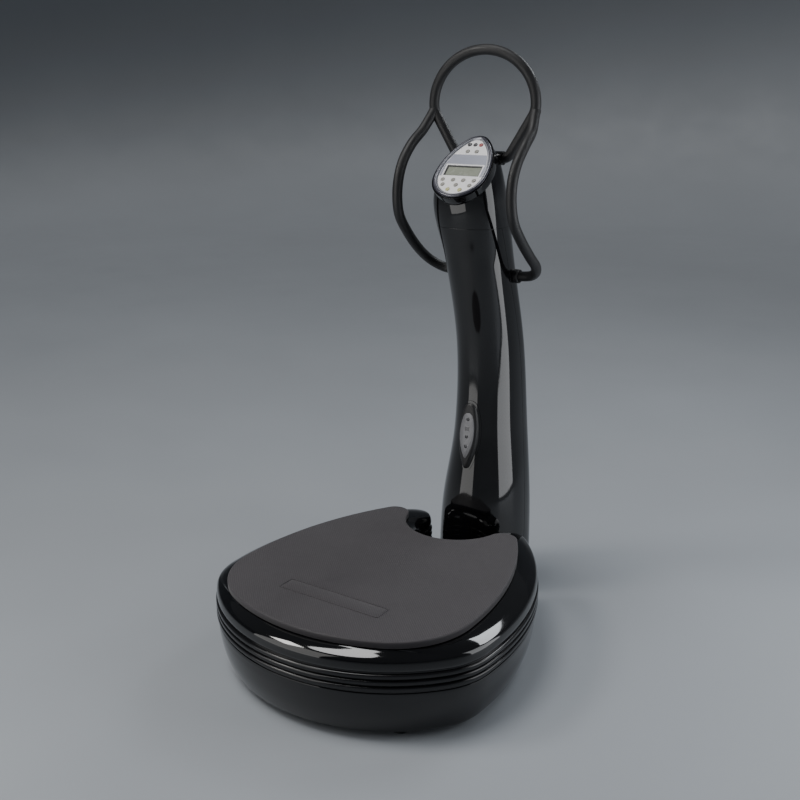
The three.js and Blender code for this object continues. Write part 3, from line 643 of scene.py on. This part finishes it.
def build_mat_badge():
    """A plain raised bar across the front of the mat, with a flat panel inside its rim."""
    corner = 0.006

    def plan(grow):
        x, y, r = BADGE_HALF[0] + grow, BADGE_HALF[1] + grow, corner + grow
        turns = [((x - r, y - r), 0), ((r - x, y - r), 1), ((r - x, r - y), 2), ((x - r, r - y), 3)]
        return np.concatenate([arc(c, r, q * math.pi / 2, (q + 1) * math.pi / 2 + 0.01, 8) for c, q in turns])

    steps = [(0.0006, -0.0004), (0, 0), (-0.0006, BADGE_RISE), (-0.0030, BADGE_RISE), (-0.0036, 0.0001),
             (-0.0050, 0.0001), (-0.0056, 0.0005)]
    rings = [at_height(plan(g) + [0, BADGE_Y], MAT_TOP + z) for g, z in steps]
    badge = loft("mat_raised_bar", rings)
    dress(badge, MAT, "plate")


# ------------------------------------------------------------------ column
def column_solid(name, grow, low, high, levels):
    return loft(name, [section_ring(z, grow) for z in np.linspace(low, high, levels)])


def column_shell(name, rear):
    seam = GAP if rear else FRONT_SEAM
    rings = []
    for z in np.linspace(COLUMN_BOTTOM, COLUMN_TOP, SHELL_LEVELS):
        outer = half_section(z, 0, rear, 64)
        inner = half_section(z, -WALL, rear, 64)[::-1]
        rings.append(np.concatenate([outer, inner]) + [0, seam, 0])
    return loft(name, rings, open_shell=True)


def build_column():
    front = soften(column_shell("column_front_skin", False), 0.0007)
    dress(front, GLOSS, "frame", ["column_front_shell"])

    rear = column_shell("column_rear_skin", True)
    inlet, rocker = (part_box(n) for n in ("power_inlet", "power_switch"))
    tools = []
    for name, (low, high), clear in (("inlet_cut", inlet, 0.0006), ("rocker_cut", rocker, 0.0008)):
        middle = (low + high) / 2 - SHIFT
        size = (high.x - low.x + clear, 0.12, high.z - low.z + clear)
        tools.append(box_object(name, size, (middle.x, middle.y + 0.03, middle.z)))
    for side in (-1, 1):
        tools.append(rod_x("handle_cut", TUBE_HOLE_R, side * 0.02, side * 0.12, SOCKET_Y, SOCKET_Z))
    combine(rear, *tools)
    soften(rear, 0.0007)
    dress(rear, GLOSS, "frame", ["column_rear_shell"])

    trim = [(0.0009, TRIM_TOP), (0.0009, COLUMN_BOTTOM), (TRIM_OUT, COLUMN_BOTTOM), (TRIM_OUT, 0.040),
            (0.004, 0.055), (0.002, TRIM_TOP)]
    rings = [section_ring(z, g, 64) for g, z in rounded(trim, 0.0018, 4)]
    collar = loft("column_foot_collar", rings, looped=True)
    dress(collar, MATTE, "frame", ["column_foot_trim"], sharp=50)

    for name, side in (("left", -1), ("right", 1)):
        low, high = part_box(f"{name}_handle_socket")
        inside, outside = sorted((abs(low.x), abs(high.x)))
        lip = [(TUBE_HOLE_R, inside), (SOCKET_R, inside), (SOCKET_R, outside), (TUBE_HOLE_R, outside)]
        turn = 2 * math.pi * np.arange(48) / 48
        rings = [np.stack([np.full(48, side * x), SOCKET_Y + r * np.cos(side * turn),
                           SOCKET_Z + r * np.sin(side * turn)], 1) for r, x in rounded(lip, 0.0022, 5)]
        socket = loft(f"{name}_socket_collar", rings, looped=True)
        combine(socket, column_solid("column_body", GAP, 0.90, 1.02, 14))
        dress(socket, MATTE, "frame", [f"{name}_handle_socket"])


# ------------------------------------------------------------------ console
def face_loft(name, shape, profile, origin=FACE_ORIGIN, tilt=FACE_TILT):
    """A solid through outlines that follow a tilted face, from (grow, z) pairs."""
    return place(loft(name, [at_height(drop_outline(shape, g), z) for g, z in profile]), origin, tilt)


def key_hole(r, x, y):
    hole = turned("key_cut", [(0, -0.005), (r, -0.005), (r, 0.005), (0, 0.005)], 32)
    hole.data.transform(Matrix.Translation((x, y, 0)))
    return hole


CROWN_FROM, CROWN_RISE, CROWN_INSET = 1.285, 0.0365, 0.03
CROWN_TOP = 1.3205


def crown_inset(z):
    """How far the column's outline is drawn in as the head's top rounds over."""
    share = max(z - CROWN_FROM, 0) / CROWN_RISE
    return -CROWN_INSET * (1 - math.sqrt(max(1 - share ** 2, 0)))


def build_head():
    bowl_side = catmull([(-0.014, -0.062), (0.002, -0.052), (0.012, -0.038), (0.017, -0.022),
                         (0.018, -0.008)], 6)
    bowl = face_loft("head_shell", FACE, [*bowl_side, (0.018, 0.006)])
    neck = loft("neck", [section_ring(z, crown_inset(z))
                         for z in np.linspace(COLUMN_TOP + GAP, CROWN_TOP, 40)])
    boss = rod_x("leg_boss", BOSS_R, -BOSS_END, BOSS_END, HOOP_Y - 0.002, LEG_FOOT[1])
    combine(bowl, neck, boss, operation="UNION")
    hollow_side = catmull([(-0.016, -0.058), (-0.002, -0.048), (0.0085, -0.036), (0.0135, -0.022),
                           (0.0145, -0.009)], 5)
    hollow = face_loft("hollow", FACE, [*hollow_side, (-0.0009, -0.0065), (-0.0009, 0.008)])
    bore = column_solid("bore", -WALL, COLUMN_TOP - 0.005, 1.262, 20)
    above = place(box_object("above", (0.4, 0.5, 0.2), (0, 0, 0.1 - 0.0023)), FACE_ORIGIN, FACE_TILT)
    legs = [rod_x("leg_cut", TUBE_HOLE_R, side * 0.03, side * 0.12, HOOP_Y, LEG_FOOT[1]) for side in (-1, 1)]
    combine(bowl, hollow, bore, above, *legs)
    soften(bowl, 0.0007)
    dress(bowl, GLOSS, "frame", ["head_housing"], sharp=30)


def build_console():
    build_head()
    slope = [(0.0128, -0.002), (0.0136, 0.0004), (0.0128, 0.0026), (0.0108, 0.0040), (0.0080, 0.0046),
             (0.0056, 0.0042), (0.0056, -0.002)]
    lip = [(0.0054, -0.0005), (0.0054, 0.0040), (0.0032, 0.0030), (0.0014, 0.0013), (0.0004, 0.0006),
           (0.0004, -0.0005)]
    for name, ring, finish in (("console_bezel_slope", slope, SLATE), ("console_bezel_lip", lip, SILVER)):
        bezel = band(name, lambda g: drop_outline(FACE, g), rounded(ring, 0.0010, 4))
        place(bezel, FACE_ORIGIN, FACE_TILT)
        dress(bezel, finish, "frame", ["console_bezel"], sharp=50)

    plate = loft("console_overlay", [at_height(drop_outline(FACE, 0), z) for z in (-0.002, 0)])
    window = box_object("window_cut", (2 * WINDOW_X, 2 * WINDOW_Y, 0.01), (0, 0, 0))
    holes = []
    for y, xs in KEY_ROWS:
        for x in xs:
            holes.append(key_hole(KEY_R + GAP, x, y))
    combine(plate, window, *holes)
    soften(place(plate, FACE_ORIGIN, FACE_TILT), 0.0002, 2)
    dress(plate, WHITE, "frame", ["console_faceplate"])

    inset = -0.0012
    inlay = loft("console_silver_inlay", [at_height(drop_outline(FACE, inset), z) for z in (0.0, 0.00025)])
    field = box_object("inlay_field", (0.3, 0.076, 0.01), (0, 0.018, 0))
    combine(inlay, field, operation="INTERSECT")
    border = 0.0045
    around = (2 * (WINDOW_X + border), 2 * (WINDOW_Y + border), 0.02)
    combine(inlay, box_object("inlay_cut", around, (0, 0, 0)))
    dress(place(inlay, FACE_ORIGIN, FACE_TILT), DARK_SILVER, "frame")

    pane = box_object("display_pane", (2 * (WINDOW_X - GAP), 2 * (WINDOW_Y - GAP), 0.0024), (0, 0, -0.0030))
    dress(place(pane, FACE_ORIGIN, FACE_TILT), DISPLAY, "frame", ["display_window"])
    # A dark frame laid in the window just above the display pane, wider at the top and left, is painted shade
    # for the shadow that the window's recess walls cast on the display.
    frame_x, frame_y = WINDOW_X - GAP, WINDOW_Y - GAP
    recess_shade = box_object("display_recess_shade", (2 * frame_x, 2 * frame_y, 0.0010), (0, 0, -0.0012))
    opening = (2 * frame_x - 0.0060, 2 * frame_y - 0.0056, 0.01)
    off_centre = (0.0013, -0.0016, 0)
    combine(recess_shade, box_object("recess_shade_cut", opening, off_centre))
    dress(place(recess_shade, FACE_ORIGIN, FACE_TILT), MATTE, "frame")

    cap = [(0, -0.0055), (KEY_R * 0.97, -0.0055), (KEY_R, -0.005), (KEY_R, 0.0006)]
    cap += [(KEY_R * math.cos(t), 0.0006 + 0.0017 * math.sin(t)) for t in np.linspace(0.1, math.pi / 2, 10)]
    index = 0
    for y, xs in KEY_ROWS:
        for x in xs:
            key = turned(f"console_button_{index + 1}", cap)
            key.data.transform(Matrix.Translation((x, y, 0)))
            place(key, FACE_ORIGIN, FACE_TILT)
            dress(key, KEY_FINISH[KEY_COLOURS[index]], f"console_key_{index + 1}",
                  [f"console_key_{index + 1}"], sharp=50)
            index += 1


# ------------------------------------------------------------------ remote control
def build_remote():
    origin, tilt = REMOTE_ORIGIN, REMOTE_TILT
    edge = [(DOCK_MARGIN, -0.06), (DOCK_MARGIN, 0.02)]
    dock = face_loft("remote_dock_leaf", REMOTE_POD, edge, origin, tilt)
    combine(dock, column_solid("dock_skin", DOCK_THICK, 0.36, 0.74, 60), operation="INTERSECT")
    combine(dock, column_solid("dock_bed", GAP, 0.34, 0.76, 60))
    soften(dock, 0.0008)
    dress(dock, GLOSS, "frame", ["remote_dock"])

    side = [(0.002, -0.040), (0.002, -0.012), *catmull([(0.002, -0.011), (0.0002, -0.0055), (-0.004, -0.0022),
                                                       (-0.0065, -0.0013)], 6)]
    pod = face_loft("remote_body", REMOTE_POD, side, origin, tilt)
    well = face_loft("remote_well", REMOTE_FACE, [(-0.003, -0.009), (-0.003, 0.005)], origin, tilt)
    combine(pod, column_solid("pod_bed", DOCK_THICK + GAP, 0.36, 0.74, 60), well)
    dress(pod, MATTE, "frame", ["remote_housing"], sharp=40)

    leaf = [(0, -0.001), (0, 0), (-0.0004, 0.0004), (-0.0012, 0.0008)]
    face = loft("remote_face", [at_height(drop_outline(REMOTE_FACE, g), z) for g, z in leaf])
    holes = []
    for y in REMOTE_KEYS:
        holes.append(key_hole(REMOTE_KEY_R + GAP, 0, y))
    opening = (REMOTE_SCREEN_X, REMOTE_SCREEN_TALL, 0.01)
    combine(face, box_object("screen_cut", opening, (0, REMOTE_SCREEN_Y, 0)), *holes)
    dress(place(face, origin, tilt), LEAF_SILVER, "frame", ["remote_faceplate"])

    size = (REMOTE_SCREEN_X - 2 * GAP, REMOTE_SCREEN_TALL - 2 * GAP, 0.0024)
    screen = box_object("remote_screen", size, (0, REMOTE_SCREEN_Y, -0.0012))
    dress(place(screen, origin, tilt), SCREEN, "frame", ["remote_display"])
    for k in (-1, 1):
        middle = (0, REMOTE_SCREEN_Y + k * 0.0026, 0.0002)
        bar = box_object(f"remote_screen_bar_{k + 2}", (0.0100, 0.0014, 0.0003), middle)
        dress(place(bar, origin, tilt), SLATE, "frame")

    cap = [(0, -0.005), (REMOTE_KEY_R, -0.005), (REMOTE_KEY_R, 0.0006)]
    cap += [(REMOTE_KEY_R * math.cos(t), 0.0006 + 0.0014 * math.sin(t))
            for t in np.linspace(0.1, math.pi / 2, 8)]
    for i, y in enumerate(REMOTE_KEYS, 1):
        key = turned(f"remote_button_{i}", cap)
        key.data.transform(Matrix.Translation((0, y, 0)))
        dress(place(key, origin, tilt), KEY_FINISH["dark"], f"remote_key_{i}", [f"remote_key_{i}"],
              sharp=50)


# ------------------------------------------------------------------ handrail
def bend_between(before, corner, after):
    """A rounded corner, as a quadratic bend that starts and ends BEND from it."""
    corner = np.array(corner, float)
    start = corner + (np.array(before) - corner) / np.linalg.norm(np.array(before) - corner) * BEND
    end = corner + (np.array(after) - corner) / np.linalg.norm(np.array(after) - corner) * BEND
    t = np.linspace(0, 1, 9)[:, None]
    return start * (1 - t) ** 2 + corner * 2 * t * (1 - t) + end * t * t


def hoop_path():
    end, foot = (LEG_END_X, LEG_FOOT[1]), LEG_FOOT
    top = (HOOP_R, HOOP_Z)
    t = np.linspace(0, math.pi, 97)
    arch = np.stack([HOOP_R * np.cos(t), HOOP_Z + ARCH_LIFT + (HOOP_R - ARCH_LIFT) * np.sin(t)], 1)
    right = np.concatenate([
        [end],
        bend_between(end, foot, top),
        np.linspace(foot, top, 14)[2:-2],
        bend_between(foot, top, (HOOP_R, HOOP_Z + 1))[:-1],
    ])
    flat = np.concatenate([right, arch, (right * [-1, 1])[::-1]])
    return np.stack([flat[:, 0], np.full(len(flat), HOOP_Y), flat[:, 1]], 1)


def build_handrail():
    hoop = soften(sweep("hoop_tube", hoop_path(), TUBE_R), 0.001)
    dress(hoop, GRIP, "frame", ["upper_hoop"], sharp=50)
    weld = (HOOP_R, HOOP_Y, HOOP_Z)
    route = catmull([weld, *HANDLE_ROUTE], 10)
    for name, side in (("left", -1), ("right", 1)):
        handle = sweep(f"{name}_handle_tube", route * [side, 1, 1], TUBE_R, domed_start=True)
        dress(handle, GRIP, "frame", [f"{name}_handle"], sharp=50)


# ------------------------------------------------------------------ carried-over CAD nodes
def finish_node(name, material, width=0.0):
    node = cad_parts[name]
    for slot in node.material_slots:
        slot.material = material
    if width:
        soften(node, width)


def build_carried_over():
    for name in ("base_frame", "vibration_plate", "column_mast"):
        finish_node(name, PAINTED, 0.001)
    finish_node("motor_controller", PAINTED, 0.002)
    for name, width in (("inlet_panel", 0.0004), ("power_inlet", 0.0003), ("power_switch", 0.0005)):
        finish_node(name, MATTE, width)
    finish_node("control_board", BOARD)
    for side in ("left", "right"):
        finish_node(f"motor_housing_{side}", PAINTED, 0.001)
        finish_node(f"rotor_{side}", STEEL, 0.0006)
    for i in range(1, 7):
        finish_node(f"levelling_foot_{i}", FOOT_RUBBER, 0.0008)


# ------------------------------------------------------------------ stage
CAMERA_PLACE = Vector((1.44409, -2.08754, 1.46589))
CAMERA_AZIMUTH, CAMERA_PITCH = math.radians(33.5673), math.radians(16.5508)
LENS, SENSOR = 47.42, 36.0


def build_camera():
    camera = bpy.data.cameras.new("camera")
    camera.lens, camera.sensor_width = LENS, SENSOR
    holder = bpy.data.objects.new("camera", camera)
    a, e = CAMERA_AZIMUTH, CAMERA_PITCH
    back = Vector((math.sin(a) * math.cos(e), -math.cos(a) * math.cos(e), math.sin(e)))
    right = Vector((math.cos(a), math.sin(a), 0))
    turn = Matrix((right, back.cross(right), back)).transposed().to_4x4()
    holder.matrix_world = Matrix.Translation(CAMERA_PLACE + SHIFT) @ turn
    bpy.context.scene.collection.objects.link(holder)
    bpy.context.scene.camera = holder


def add_light(name, kind, place_at, aim, energy, colour=(1, 1, 1), **settings):
    light = bpy.data.lights.new(name, kind)
    light.energy, light.color = energy, colour
    for key, value in settings.items():
        setattr(light, key, value)
    holder = bpy.data.objects.new(name, light)
    holder.location = place_at
    holder.rotation_euler = (Vector(aim) - Vector(place_at)).to_track_quat("-Z", "Y").to_euler()
    holder.visible_camera = False
    bpy.context.scene.collection.objects.link(holder)


def softbox(name, bearing, distance, height, width, tall, energy, colour, aim_height):
    """A soft panel at a bearing in degrees, turned from the front (-Y) towards +X."""
    b = math.radians(bearing)
    place_at = (distance * math.sin(b), -distance * math.cos(b), height)
    add_light(name, "AREA", place_at, (0, 0, aim_height), energy, colour,
              shape="RECTANGLE", size=width, size_y=tall)


def build_stage():
    """A round floor that curves up into a wall, faint sky light, a broad sun and four soft panels."""
    flat, turn_up, wall = 9.0, 3.0, 6.0  # radius of the flat floor, of its curve, and height
    sides = 96
    curve = [(flat + turn_up * math.sin(t), turn_up * (1 - math.cos(t)))
             for t in np.linspace(0, math.pi / 2, 13)]
    profile = [(0.5, 0), (2.0, 0), (5.0, 0), *curve, (flat + turn_up, wall)]
    bearing = 2 * math.pi * np.arange(sides) / sides
    points = np.concatenate([np.stack([r * np.cos(bearing), r * np.sin(bearing), np.full(sides, z)], 1)
                             for r, z in profile])
    faces = [tuple(range(sides))]
    for k in range(len(profile) - 1):
        low, high = k * sides, (k + 1) * sides
        faces += [(low + i, high + i, high + (i + 1) % sides, low + (i + 1) % sides) for i in range(sides)]
    floor = mesh_object("floor", points, faces)
    floor.data.materials.append(finish_material("floor_paper", (0.30, 0.32, 0.345), 0.6, tint=0.03, cloud=0.7,
                                                grain=300.0, grain_depth=0.00005))
    floor.data.shade_smooth()
    world = bpy.data.worlds.new("studio")
    world.use_nodes = True
    background = world.node_tree.nodes["Background"]
    background.inputs["Color"].default_value = (0.80, 0.86, 0.94, 1)
    background.inputs["Strength"].default_value = 0.10
    bpy.context.scene.world = world
    add_light("overhead_fill", "SUN", (-0.7, -0.5, 3), (0, 0, 0), 1.3, angle=math.radians(24))
    softbox("front_left_panel", -24, 1.75, 1.15, 1.3, 2.2, 15, (1, 0.99, 0.97), 1.15)
    softbox("right_panel", 108, 2.1, 1.15, 1.4, 2.2, 27, (0.95, 0.97, 1), 1.15)
    softbox("key_softbox", -52, 3.0, 3.6, 1.0, 1.0, 55, (1, 0.98, 0.95), 0.3)
    softbox("back_softbox", 165, 3.0, 3.2, 1.8, 0.8, 40, (0.92, 0.96, 1), 0.6)


build_camera()
build_stage()
build_platform()
build_column()
build_console()
build_remote()
build_handrail()
build_carried_over()
